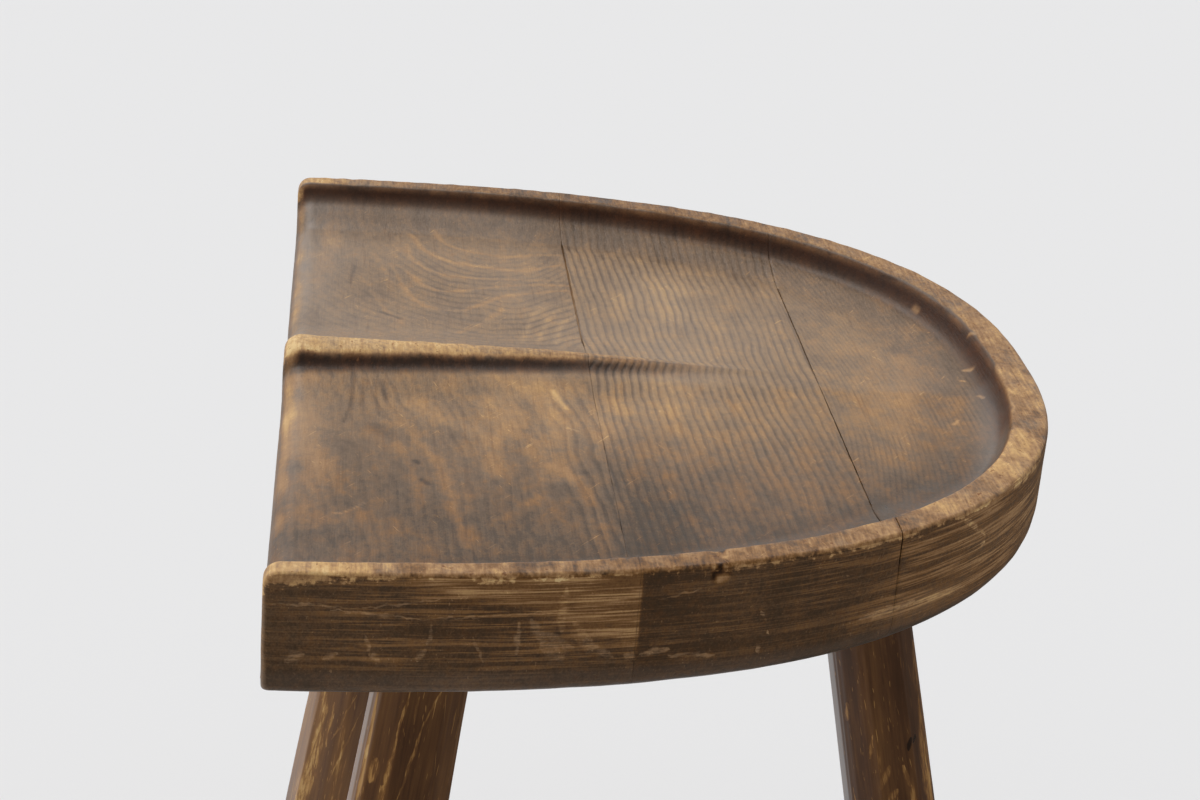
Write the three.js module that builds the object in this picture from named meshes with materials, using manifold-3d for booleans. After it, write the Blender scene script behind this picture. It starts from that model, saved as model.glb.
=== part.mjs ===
// A three-legged work stool with a carved saddle seat.
//
// The seat is glued up from three boards whose grain runs across its width. Two scoops are
// hollowed out of the top with a ridge between them, and a raised rim is left round the sides
// and the back. Three splayed octagonal legs stand in blind mortises in the flat underside.
// Each leg ends in a round tenon, spread by a wedge in its kerf, and dowels pin the edge joints.
//
// Millimetres, +Z up. The front edge faces -Y, the round back +Y, and the width runs along X.
// The origin is on the floor, in the middle of the box round the stool.

import * as THREE from 'three';
import { mergeVertices } from 'three/addons/utils/BufferGeometryUtils.js';
import Module from 'manifold-3d';

const wasm = await Module();
wasm.setup();

// Overall sizes
const seatHeight = 450; // floor to the top of the rim
const seatWidth = 380;
const seatDepth = 282;
const seatThickness = 43;

// Seat outline: a half oval, fuller than an ellipse, with a straight front
const outlineSideFullness = 2.41;
const outlineBackFullness = 2.68;
const cornerRadius = 3; // the upright corners at both ends of the front edge

// Boards, from front to back; the back board takes what is left
const frontBoardDepth = 115;
const backBoardDepth = 79;
const edgeJointGap = 0.3;

// Rim and hollow
const rimWidthSide = 10;
const rimWidthBack = 14;
const rimArris = 2; // rounding of the rim's outer top edge
const rimWallRun = 9; // the wall is a cove, steep at the rim and easing into the floor
const rimWallDropFront = 6.5;
const rimWallDropBack = 9.5;
const hollowDepth = 13;
const hollowEase = 30; // from the rim's foot to full depth

// Ridge between the scoops. It stands off the middle of the seat, towards -X.
const ridgeOffsetFront = 5.5;
const ridgeOffsetBack = 12;
const ridgeOffsetRun = 120; // the depth over which it swings from one offset to the other
const ridgeFrontDepth = 3; // crest below the rim at the front edge
const ridgeLength = 190;
const ridgeFall = 1.3; // how late the crest sinks
const ridgeCrestHalfFront = 10;
const ridgeCrestHalfBack = 1;
const ridgeWallRun = 6; // a cove like the rim's
const ridgeSkirt = 30;
const ridgeWallShare = 0.6; // part of the ridge's height that is steep

// Edges
const scoopLipRadius = 9; // where the scoops roll over the front edge
const frontArris = 5.5; // the same edge at the rim's ends and the ridge
const undersideRoundFront = 5;
const undersideRoundBack = 16;
const undersideFrontArris = 2.5;

// Legs, measured on the seat's underside
const frontLegInset = 81; // from the seat's widest place
const frontLegSetback = 57.5; // from the front edge
const backLegInset = 64.5; // from the back edge
const frontOutwardSplay = 0.117; // run over rise of each splay
const frontForwardSplay = 0.14;
const backSplay = 0.229;
const legTopRadius = 16.4; // to the arris of the octagon
const legFootRadius = 21.4;
const rightLegTurnDegrees = 4.5; // from +X to a facet's middle
const leftLegTurnDegrees = 149;
const backLegTurnDegrees = 7;
const shoulderGap = 0.3;

// Tenons, wedges and dowels
const tenonRadius = 12;
const tenonClearance = 0.3;
const mortiseRoof = 7; // wood left between a mortise and the hollow
const mortiseEndGap = 1;
const kerfDepth = 15;
const wedgeTipThickness = 1;
const wedgeHeadThickness = 3;
const wedgeBreadth = 21.6;
const wedgeClearance = 0.3;
const dowelRadius = 4;
const dowelLength = 40;
const dowelClearance = 0.25;
const dowelInset = 58; // from the seat's side, at each joint

// How finely the curved faces are divided
const boardRowSpacing = 14;
const leastRowSpacing = 2;
const lipRowShares = [0.12, 0.3, 0.6, 1]; // of the lip's radius
const rimTurns = [0, 30, 60, 90]; // degrees round the rim's arris
const undersideFirstTurn = 22.5;
const fanSteps = 30;
const legSides = 8;
const legRings = 8;
const roundSegments = 20;
const cutterOverrun = 1; // how far a cutter passes beyond the face that it opens

// Values that follow from the sizes above
const halfWidth = seatWidth / 2;
const underside = seatHeight - seatThickness;
const frontJoint = frontBoardDepth;
const backJoint = seatDepth - backBoardDepth;
const frontLegSpread = halfWidth - frontLegInset;
const backLegSetback = seatDepth - backLegInset;
const mortiseDepth = seatThickness - hollowDepth - mortiseRoof;
const dowelHeight = (seatThickness - hollowDepth) / 2;

const woodTop = { color: 0x6b4a33, roughness: 0.5, metalness: 0 };
const woodLeg = { color: 0x54301d, roughness: 0.38, metalness: 0 };
const woodBare = { color: 0xb08a5a, roughness: 0.8, metalness: 0 };

const stainedSeat = () => new THREE.MeshStandardMaterial(woodTop);
const varnishedLeg = () => new THREE.MeshStandardMaterial(woodLeg);
const bareWood = () => new THREE.MeshStandardMaterial(woodBare);

const smooth = (t) => THREE.MathUtils.smoothstep(t, 0, 1);
const mix = THREE.MathUtils.lerp;

// Seat coordinates: x across, y back from the front edge, z up from the underside.

// How far a rounded edge of this radius has dropped at this distance in from its face.
function edgeDrop(distance, radius) {
  const inward = Math.max(0, radius - Math.max(0, distance));
  return radius - Math.sqrt(radius * radius - inward * inward);
}

// Zero on the outline, negative inside it.
function outlineValue(x, y) {
  const side = Math.pow(Math.abs(x) / halfWidth, outlineSideFullness);
  const back = Math.pow(Math.max(0, y) / seatDepth, outlineBackFullness);
  return side + back - 1;
}

function outlineNormal(x, y) {
  const across = outlineSideFullness * Math.pow(Math.abs(x) / halfWidth, outlineSideFullness - 1);
  const along = outlineBackFullness * Math.pow(Math.max(0, y) / seatDepth, outlineBackFullness - 1);
  return new THREE.Vector2(Math.sign(x) * across / halfWidth, along / seatDepth);
}

// Distance in from the outline, true near it and growing faster towards the middle.
function insetFromOutline(x, y) {
  const slope = Math.max(outlineNormal(x, y).length(), 1e-6);
  return -outlineValue(x, y) / slope;
}

// Distance from a point inside the outline to the outline, along a direction.
function reachToOutline(from, direction) {
  let near = 0;
  let far = seatWidth + seatDepth;
  for (let step = 0; step < 50; step += 1) {
    const middle = (near + far) / 2;
    const value = outlineValue(from.x + direction.x * middle, from.y + direction.y * middle);
    if (value < 0) near = middle;
    else far = middle;
  }
  return near;
}

// Depth of the carved top below the rim, without the ridge.
function hollowAt(x, y) {
  const back = smooth(y / seatDepth);
  const rim = mix(rimWidthSide, rimWidthBack, back);
  const wallDrop = mix(rimWallDropFront, rimWallDropBack, back);
  const inset = insetFromOutline(x, y) - rim;
  const left = 1 - THREE.MathUtils.clamp(inset / rimWallRun, 0, 1);
  const wall = wallDrop * (1 - left * left * left);
  const floor = (hollowDepth - wallDrop) * smooth(inset / hollowEase);
  return wall + floor;
}

const ridgeAxisAt = (y) => -mix(ridgeOffsetFront, ridgeOffsetBack, smooth(y / ridgeOffsetRun));

const ridgeCrestHalfAt = (y) => (
  mix(ridgeCrestHalfFront, ridgeCrestHalfBack, THREE.MathUtils.clamp(y / ridgeLength, 0, 1)));

// Share of the ridge's height at a place beside its axis.
function ridgeShape(x, y) {
  const beside = Math.abs(x - ridgeAxisAt(y)) - ridgeCrestHalfAt(y);
  const left = 1 - THREE.MathUtils.clamp(beside / ridgeWallRun, 0, 1);
  const steep = left * left * left;
  const skirt = 1 - smooth(beside / ridgeSkirt);
  return ridgeWallShare * steep + (1 - ridgeWallShare) * skirt;
}

function topHeight(x, y) {
  const hollow = hollowAt(x, y);
  const sunk = Math.pow(Math.min(1, y / ridgeLength), ridgeFall);
  const crest = mix(ridgeFrontDepth, hollowDepth, sunk);
  const depth = hollow - Math.max(0, hollow - crest) * ridgeShape(x, y);
  const lip = mix(frontArris, scoopLipRadius, Math.min(1, depth / hollowDepth));
  return seatThickness - depth - edgeDrop(y, lip);
}

const bottomHeight = (y) => edgeDrop(y, undersideFrontArris);

// One half section of the seat: pairs of points, on the top and on the underside, from a
// centre out to the side. The last pair is the upright wall.
function halfSection(centre, direction, innerStations) {
  const place = (radius, z) => new THREE.Vector3(
    centre.x + direction.x * radius, centre.y + direction.y * radius, z);
  const outer = reachToOutline(centre, direction);
  const hit = new THREE.Vector2(centre.x + direction.x * outer, centre.y + direction.y * outer);
  const normal = outlineNormal(hit.x, hit.y).normalize();
  const slant = 1 / normal.dot(direction);
  const reach = outer - edgeDrop(centre.y, cornerRadius);
  const back = smooth(hit.y / seatDepth);
  const rim = mix(rimWidthSide, rimWidthBack, back);
  const round = mix(undersideRoundFront, undersideRoundBack, Math.pow(hit.y / seatDepth, 2));

  const runs = [hollowEase, hollowEase / 2, rimWallRun, rimWallRun / 2, rimWallRun / 4];
  const edge = runs.map((run) => reach - (rim + run) * slant);
  const inner = innerStations.filter((station) => station < edge[0] - leastRowSpacing);
  const last = inner[inner.length - 1];
  const between = [mix(last, edge[0], 1 / 3), mix(last, edge[0], 2 / 3)];
  const padding = innerStations.slice(inner.length).map((_, k, all) => (
    mix(between[1], edge[0], (k + 1) / (all.length + 1))));
  const pairs = [...inner, ...between, ...padding, ...edge].map((radius) => {
    const point = place(radius, 0);
    return [place(radius, topHeight(point.x, point.y)), place(radius, bottomHeight(point.y))];
  });

  const rimInner = place(reach - rim * slant, 0);
  pairs.push([
    place(reach - rim * slant, topHeight(rimInner.x, rimInner.y)),
    place(reach - round * slant, bottomHeight(centre.y)),
  ]);
  for (const turn of rimTurns) {
    const angle = THREE.MathUtils.degToRad(turn);
    const low = THREE.MathUtils.degToRad(mix(undersideFirstTurn, 90, turn / 90));
    const rimDrop = edgeDrop(hit.y, frontArris);
    const top = seatThickness - rimDrop - rimArris * (1 - Math.cos(angle));
    const bottom = Math.max(round * (1 - Math.cos(low)), bottomHeight(hit.y));
    pairs.push([
      place(reach - rimArris * (1 - Math.sin(angle)) * slant, top),
      place(reach - round * (1 - Math.sin(low)) * slant, bottom),
    ]);
  }
  return pairs;
}

// A closed solid through a row of sections, each a list of top and bottom pairs.
function solidThroughSections(sections) {
  const points = [];
  const faces = [];
  const rings = sections.map((pairs) => {
    const ring = [...pairs.map((pair) => pair[0]), ...pairs.map((pair) => pair[1]).reverse()];
    const start = points.length;
    points.push(...ring);
    return ring.map((_, k) => start + k);
  });
  const quad = (a, b, c, d) => faces.push([a, b, c], [a, c, d]);
  for (let row = 0; row + 1 < rings.length; row += 1) {
    const here = rings[row];
    const next = rings[row + 1];
    here.forEach((_, k) => {
      const after = (k + 1) % here.length;
      quad(here[k], here[after], next[after], next[k]);
    });
  }
  const cap = (ring, flip) => {
    for (let k = 0; k + 1 < ring.length / 2; k += 1) {
      const low = ring.length - 1 - k;
      if (flip) quad(ring[k], ring[k + 1], ring[low - 1], ring[low]);
      else quad(ring[k], ring[low], ring[low - 1], ring[k + 1]);
    }
  };
  cap(rings[0], false);
  cap(rings[rings.length - 1], true);
  return closedGeometry(points, faces);
}

// A geometry from points and faces: shared points merged, empty faces dropped.
function closedGeometry(points, faces) {
  const geometry = new THREE.BufferGeometry();
  geometry.setAttribute('position', new THREE.Float32BufferAttribute(
    points.flatMap((point) => [point.x, point.y, point.z]), 3));
  geometry.setIndex(faces.flat());
  const merged = mergeVertices(geometry, 1e-4);
  const index = merged.getIndex().array;
  const kept = [];
  for (let k = 0; k < index.length; k += 3) {
    const [a, b, c] = [index[k], index[k + 1], index[k + 2]];
    if (a !== b && b !== c && c !== a) kept.push(a, b, c);
  }
  merged.setIndex(kept);
  return merged;
}

function toManifold(geometry) {
  const plain = geometry.clone();
  plain.deleteAttribute('normal');
  plain.deleteAttribute('uv');
  const merged = mergeVertices(plain, 1e-4);
  return new wasm.Manifold(new wasm.Mesh({
    numProp: 3,
    vertProperties: new Float32Array(merged.attributes.position.array),
    triVerts: new Uint32Array(merged.getIndex().array),
  }));
}

function fromManifold(solid) {
  const mesh = solid.getMesh();
  const geometry = new THREE.BufferGeometry();
  geometry.setAttribute('position', new THREE.BufferAttribute(mesh.vertProperties, 3));
  geometry.setIndex(new THREE.BufferAttribute(mesh.triVerts, 1));
  geometry.computeVertexNormals();
  return geometry;
}

function cutAway(geometry, cutters) {
  let solid = toManifold(geometry);
  for (const cutter of cutters) solid = solid.subtract(toManifold(cutter));
  return fromManifold(solid);
}

// Rows of a board at equal steps, with more of them where the front edge rolls over.
function rowPlaces(from, to) {
  const steps = Math.max(2, Math.round((to - from) / boardRowSpacing));
  const rows = [];
  for (let k = 0; k <= steps; k += 1) rows.push(mix(from, to, k / steps));
  if (from > 0) return rows;
  const lip = lipRowShares.map((share) => share * scoopLipRadius);
  return [0, ...lip, ...rows.filter((row) => row > scoopLipRadius + leastRowSpacing)];
}

// Distances from the ridge's axis at which its slope changes.
function ridgeStationsAt(y) {
  const beside = [0, ridgeWallRun / 4, ridgeWallRun / 2, ridgeWallRun * 3 / 4, ridgeWallRun];
  beside.push(ridgeSkirt / 2, ridgeSkirt);
  return [0, ...beside.map((run) => ridgeCrestHalfAt(y) + run)];
}

// A board that runs across the seat between two places along its depth.
function crossBoard(from, to) {
  const left = new THREE.Vector2(-1, 0);
  const right = new THREE.Vector2(1, 0);
  const sections = rowPlaces(from, to).map((y) => {
    const centre = new THREE.Vector2(ridgeAxisAt(y), y);
    const rightHalf = halfSection(centre, right, ridgeStationsAt(y));
    const leftHalf = halfSection(centre, left, ridgeStationsAt(y));
    return [...leftHalf.reverse(), ...rightHalf.slice(1)];
  });
  return solidThroughSections(sections);
}

// The back board, as a fan of half sections round the middle of its joint.
function fanBoard(from) {
  const centre = new THREE.Vector2(0, from);
  const sections = [];
  for (let step = 0; step <= fanSteps; step += 1) {
    const angle = Math.PI * step / fanSteps;
    const direction = new THREE.Vector2(Math.cos(angle), Math.sin(angle));
    sections.push(halfSection(centre, direction, [0]));
  }
  return solidThroughSections(sections);
}

// Legs: an octagon that swells from the seat down, cut level with the underside and the floor.
const legPlans = {
  front_left: {
    foot: new THREE.Vector3(-frontLegSpread, frontLegSetback, 0),
    up: new THREE.Vector3(frontOutwardSplay, frontForwardSplay, 1).normalize(),
    turn: leftLegTurnDegrees,
  },
  front_right: {
    foot: new THREE.Vector3(frontLegSpread, frontLegSetback, 0),
    up: new THREE.Vector3(-frontOutwardSplay, frontForwardSplay, 1).normalize(),
    turn: rightLegTurnDegrees,
  },
  back: {
    foot: new THREE.Vector3(0, backLegSetback, 0),
    up: new THREE.Vector3(0, -backSplay, 1).normalize(),
    turn: backLegTurnDegrees,
  },
};

// The turn that stands a leg's own z axis along its slope, with its x axis kept across.
function legPose(plan) {
  const across = new THREE.Vector3(1, 0, 0);
  const zAxis = plan.up;
  const yAxis = new THREE.Vector3().crossVectors(zAxis, across).normalize();
  const xAxis = new THREE.Vector3().crossVectors(yAxis, zAxis);
  return new THREE.Quaternion().setFromRotationMatrix(
    new THREE.Matrix4().makeBasis(xAxis, yAxis, zAxis));
}

// Height along a leg's own axis at which an arris meets a level plane of the seat frame.
function arrisEnd(level, outward, worldUp, radiusAt) {
  let along = level / worldUp.z;
  for (let step = 0; step < 12; step += 1) {
    const radius = radiusAt(along);
    const lift = radius * (outward.x * worldUp.x + outward.y * worldUp.y);
    along = (level - lift) / worldUp.z;
  }
  return along;
}

function legBody(plan) {
  const worldUp = new THREE.Vector3(0, 0, 1).applyQuaternion(legPose(plan).invert());
  const legLength = underside / worldUp.z;
  const radiusAt = (along) => {
    const down = THREE.MathUtils.clamp(-along / legLength, 0, 1);
    return mix(legTopRadius, legFootRadius, 2 * down - down * down);
  };
  const points = [];
  for (let ring = 0; ring <= legRings; ring += 1) {
    for (let side = 0; side < legSides; side += 1) {
      const angle = THREE.MathUtils.degToRad(plan.turn + (side + 0.5) * 360 / legSides);
      const outward = new THREE.Vector2(Math.cos(angle), Math.sin(angle));
      const top = arrisEnd(-shoulderGap, outward, worldUp, radiusAt);
      const bottom = arrisEnd(-underside, outward, worldUp, radiusAt);
      const along = mix(top, bottom, ring / legRings);
      const radius = radiusAt(along);
      points.push(new THREE.Vector3(outward.x * radius, outward.y * radius, along));
    }
  }
  const faces = [];
  for (let ring = 0; ring < legRings; ring += 1) {
    for (let side = 0; side < legSides; side += 1) {
      const here = ring * legSides + side;
      const beside = ring * legSides + (side + 1) % legSides;
      faces.push([here, here + legSides, beside + legSides], [here, beside + legSides, beside]);
    }
  }
  const lastRing = legRings * legSides;
  for (let side = 1; side + 1 < legSides; side += 1) {
    faces.push([0, side, side + 1]);
    faces.push([lastRing, lastRing + side + 1, lastRing + side]);
  }
  return closedGeometry(points, faces);
}

// A round bar along a leg's own axis.
function axialBar(radius, from, to) {
  const bar = new THREE.CylinderGeometry(radius, radius, to - from, roundSegments);
  bar.rotateX(Math.PI / 2);
  bar.translate(0, 0, (from + to) / 2);
  return bar;
}

// A wedge across a leg's own x axis, thick end up, its head at the given height.
function wedgeBlock(head, length, tipThickness, headThickness, breadth) {
  const outline = new THREE.Shape();
  outline.moveTo(-tipThickness / 2, head - length);
  outline.lineTo(tipThickness / 2, head - length);
  outline.lineTo(headThickness / 2, head);
  outline.lineTo(-headThickness / 2, head);
  outline.closePath();
  const block = new THREE.ExtrudeGeometry(outline, { depth: breadth, bevelEnabled: false });
  block.translate(0, 0, -breadth / 2);
  block.rotateX(Math.PI / 2);
  return block;
}

const tenonEnd = (plan) => (mortiseDepth - mortiseEndGap) / plan.up.z;

function legGeometry(plan) {
  const end = tenonEnd(plan);
  const overlap = legTopRadius;
  const tenon = axialBar(tenonRadius, -overlap, end);
  const kerf = wedgeBlock(
    end + cutterOverrun, kerfDepth + cutterOverrun,
    wedgeTipThickness + 2 * wedgeClearance,
    wedgeHeadThickness + 2 * wedgeClearance,
    4 * tenonRadius);
  const whole = toManifold(legBody(plan)).add(toManifold(tenon));
  return fromManifold(whole.subtract(toManifold(kerf)));
}

function wedgeGeometry(plan) {
  const length = kerfDepth - wedgeClearance;
  return wedgeBlock(tenonEnd(plan), length, wedgeTipThickness, wedgeHeadThickness, wedgeBreadth);
}

// The mortise of a leg, as a cutter in seat coordinates.
function mortiseCutter(plan) {
  const bar = axialBar(tenonRadius + tenonClearance, -2 * tenonRadius, mortiseDepth / plan.up.z);
  bar.applyQuaternion(legPose(plan));
  bar.translate(plan.foot.x, plan.foot.y, plan.foot.z);
  return bar;
}

// Dowels across the edge joints. The middle of the back joint is taken by a mortise.
function dowelSpreadAt(joint) {
  const side = reachToOutline(new THREE.Vector2(0, joint), new THREE.Vector2(1, 0));
  return side - dowelInset;
}

const dowelPlans = {
  front_left: { x: -dowelSpreadAt(frontJoint), y: frontJoint },
  front_middle: { x: 0, y: frontJoint },
  front_right: { x: dowelSpreadAt(frontJoint), y: frontJoint },
  back_left: { x: -dowelSpreadAt(backJoint), y: backJoint },
  back_right: { x: dowelSpreadAt(backJoint), y: backJoint },
};

function dowelBar(plan, clearance) {
  const radius = dowelRadius + clearance;
  const bar = new THREE.CylinderGeometry(radius, radius, dowelLength + 2 * clearance, roundSegments);
  bar.translate(plan.x, plan.y, dowelHeight);
  return bar;
}

function namedMesh(name, geometry, material) {
  const mesh = new THREE.Mesh(geometry, material);
  mesh.name = name;
  return mesh;
}

function buildSeat() {
  const seat = new THREE.Group();
  const mortises = Object.values(legPlans).map(mortiseCutter);
  const dowelHoles = Object.values(dowelPlans).map((plan) => dowelBar(plan, dowelClearance));
  const cutters = [...mortises, ...dowelHoles];
  const half = edgeJointGap / 2;
  const boards = {
    seat_board_front: crossBoard(0, frontJoint - half),
    seat_board_middle: crossBoard(frontJoint + half, backJoint - half),
    seat_board_back: fanBoard(backJoint + half),
  };
  for (const [name, blank] of Object.entries(boards)) {
    seat.add(namedMesh(name, cutAway(blank, cutters), stainedSeat()));
  }
  for (const [name, plan] of Object.entries(dowelPlans)) {
    seat.add(namedMesh(`dowel_${name}`, dowelBar(plan, 0), bareWood()));
  }
  return seat;
}

function buildLeg(name, plan) {
  const leg = new THREE.Group();
  leg.position.copy(plan.foot);
  leg.quaternion.copy(legPose(plan));
  leg.add(namedMesh(`leg_${name}`, legGeometry(plan), varnishedLeg()));
  leg.add(namedMesh(`wedge_${name}`, wedgeGeometry(plan), bareWood()));
  return leg;
}

function buildStool() {
  const stool = new THREE.Group();
  const assembly = new THREE.Group();
  assembly.position.z = underside;
  assembly.add(buildSeat());
  for (const [name, plan] of Object.entries(legPlans)) assembly.add(buildLeg(name, plan));
  stool.add(assembly);

  // Centre the whole over the origin, front to back.
  stool.updateMatrixWorld(true);
  const box = new THREE.Box3().setFromObject(stool, true);
  assembly.position.y = -(box.min.y + box.max.y) / 2;
  return stool;
}

export default buildStool();
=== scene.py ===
import functools
import itertools
import math
import bmesh
import bpy
import numpy as np
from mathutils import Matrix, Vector
from mathutils.geometry import tessellate_polygon


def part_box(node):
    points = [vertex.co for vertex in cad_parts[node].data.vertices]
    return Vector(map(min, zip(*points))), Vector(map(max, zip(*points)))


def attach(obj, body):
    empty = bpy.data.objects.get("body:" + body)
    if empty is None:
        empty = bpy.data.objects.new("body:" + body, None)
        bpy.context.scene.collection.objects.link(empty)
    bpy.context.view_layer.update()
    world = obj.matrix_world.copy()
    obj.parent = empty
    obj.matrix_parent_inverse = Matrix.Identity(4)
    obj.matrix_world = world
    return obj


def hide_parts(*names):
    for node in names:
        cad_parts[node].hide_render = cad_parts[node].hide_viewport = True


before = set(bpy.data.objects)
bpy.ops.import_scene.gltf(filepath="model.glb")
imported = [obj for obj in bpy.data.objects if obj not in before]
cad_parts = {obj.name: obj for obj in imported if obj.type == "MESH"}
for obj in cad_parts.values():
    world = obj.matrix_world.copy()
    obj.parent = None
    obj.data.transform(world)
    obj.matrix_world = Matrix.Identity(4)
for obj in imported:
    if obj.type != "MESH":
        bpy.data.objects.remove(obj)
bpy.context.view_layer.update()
scene = bpy.context.scene
mm = 0.001

# The camera. It looks down on the seat from the sitter's right, level with the legs' tops,
# and the picture is taken to be 1200 by 800.
picture_width = 1200
focal_pixels = 2401
camera_right, camera_back, camera_rise = 0.832, 0.0217, 0.3771
camera_turn, camera_dip, camera_tilt = -0.117, 0.402, 0.0789

seat_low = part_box("seat_board_front")[0]
camera_place = Vector((camera_right, seat_low.y + camera_back, seat_low.z + camera_rise))
ahead = Vector((
    -math.cos(camera_turn) * math.cos(camera_dip),
    -math.sin(camera_turn) * math.cos(camera_dip),
    -math.sin(camera_dip)))
level = ahead.cross(Vector((0, 0, 1))).normalized()
upright = level.cross(ahead)
picture_right = level * math.cos(camera_tilt) + upright * math.sin(camera_tilt)
picture_up = upright * math.cos(camera_tilt) - level * math.sin(camera_tilt)


def show(name, data):
    """A new object, put in the scene."""
    made = bpy.data.objects.new(name, data)
    scene.collection.objects.link(made)
    return made


camera = bpy.data.cameras.new("camera")
camera.sensor_fit = "HORIZONTAL"
camera.sensor_width = 36
camera.lens = focal_pixels / picture_width * camera.sensor_width
camera_object = show("camera", camera)
for column, axis in enumerate((picture_right, picture_up, -ahead, camera_place)):
    for row in range(3):
        camera_object.matrix_world[row][column] = axis[row]
scene.camera = camera_object


# The seat. Three softwood boards, edge glued, sawn to a blunt half oval and dished by hand
# into two scoops with a ridge between them. All three are worked as one block, so one rule
# gives the height of the top anywhere. Lengths here are millimetres: x across the seat,
# y back from its front edge and z up from its underside.
front_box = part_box("seat_board_front")
middle_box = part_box("seat_board_middle")
back_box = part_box("seat_board_back")
half_width = front_box[1].x / mm
seat_depth = (back_box[1].y - seat_low.y) / mm
thickness = (front_box[1].z - seat_low.z) / mm
front_joint = ((front_box[1].y + middle_box[0].y) / 2 - seat_low.y) / mm
back_joint = ((middle_box[1].y + back_box[0].y) / 2 - seat_low.y) / mm

side_fullness, back_fullness = 2.41, 2.68
corner_radius = 3
rim_width_side, rim_width_back = 10, 14
rim_arris = 2
wall_run, wall_head_round = 9, 1
ridge_head_round = 2.4
wall_drop_front, wall_drop_back = 6.5, 9.5
hollow_depth, hollow_ease = 13, 30
ridge_offset_front, ridge_offset_back, ridge_offset_run = 5.5, 12, 120
ridge_front_drop, ridge_length, ridge_fall = 3, 190, 1.3
crest_half_front, crest_half_back = 10, 1
ridge_wall_run, ridge_skirt, ridge_wall_share = 6, 30, 0.6
scoop_lip_radius, front_arris = 9, 5.5
under_round_front, under_round_back, under_front_arris = 5, 16, 2.5


def smooth(t):
    t = np.clip(t, 0, 1)
    return t * t * (3 - 2 * t)


def rise(value, start, run):
    """0 before the start, 1 after the run, eased in between."""
    return smooth((value - start) / run)


def fall(value, start, run):
    return 1 - rise(value, start, run)


def mix(a, b, share):
    return a + (b - a) * share


def edge_drop(distance, radius):
    inward = np.maximum(0, radius - np.maximum(0, distance))
    return radius - np.sqrt(radius * radius - inward * inward)


def drift(place, size, seed):
    """Smooth random wandering from -1 to 1. The size of a swell may differ by axis."""
    table = np.random.default_rng(seed).uniform(-1, 1, (31, 31, 31))
    cell = place / np.array(size, float)
    base = np.floor(cell).astype(int)
    part = smooth(cell - base)
    total = np.zeros(len(place))
    for corner in itertools.product((0, 1), repeat=3):
        weight = np.prod(np.where(corner, part, 1 - part), axis=1)
        total += weight * table[tuple(((base + corner) % 31).T)]
    return total


def outline_value(x, y):
    side = (np.abs(x) / half_width) ** side_fullness
    return side + (np.maximum(0, y) / seat_depth) ** back_fullness - 1


def outline_slope(x, y):
    across = side_fullness * (np.abs(x) / half_width) ** (side_fullness - 1) / half_width
    along = back_fullness * (np.maximum(0, y) / seat_depth) ** (back_fullness - 1) / seat_depth
    return across, along


def outline_inset(x, y):
    return -outline_value(x, y) / np.maximum(np.hypot(*outline_slope(x, y)), 1e-6)


def hollow_at(x, y):
    back = smooth(y / seat_depth)
    wall_drop = mix(wall_drop_front, wall_drop_back, back)
    inside = outline_inset(x, y) - mix(rim_width_side, rim_width_back, back)
    inside = (inside + np.sqrt(inside ** 2 + wall_head_round ** 2)) / 2
    left = 1 - np.clip(inside / wall_run, 0, 1)
    floor = (hollow_depth - wall_drop) * smooth(inside / hollow_ease)
    return wall_drop * (1 - left ** 3) + floor


def ridge_axis(y):
    return -mix(ridge_offset_front, ridge_offset_back, smooth(y / ridge_offset_run))


def beside_crest(x, y):
    share = np.clip(y / ridge_length, 0, 1)
    return np.abs(x - ridge_axis(y)) - mix(crest_half_front, crest_half_back, share)


def top_height(x, y):
    hollow = hollow_at(x, y)
    beside = beside_crest(x, y)
    past = (beside + np.sqrt(beside ** 2 + ridge_head_round ** 2)) / 2
    steep = ridge_wall_share * (1 - np.clip(past / ridge_wall_run, 0, 1)) ** 3
    skirt = (1 - ridge_wall_share) * (1 - smooth(beside / ridge_skirt))
    sunk = np.minimum(1, np.maximum(0, y) / ridge_length) ** ridge_fall
    crest = mix(ridge_front_drop, hollow_depth, sunk)
    depth = hollow - np.maximum(0, hollow - crest) * (steep + skirt)
    lip = mix(front_arris, scoop_lip_radius, np.minimum(1, depth / hollow_depth))
    return thickness - depth - edge_drop(y, lip)


def outline_reach(centre_x, centre_y, across, back):
    """Distance to the outline from a centre, along the direction (across, back)."""
    near = 0 * across
    far = near + half_width + seat_depth
    for _ in range(40):
        half = (near + far) / 2
        inside = outline_value(centre_x + across * half, centre_y + back * half) < 0
        near = np.where(inside, half, near)
        far = np.where(inside, far, half)
    return near


arris_points, wall_points, round_points, under_points = 7, 26, 8, 16
point_crowding = 0.07


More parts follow.
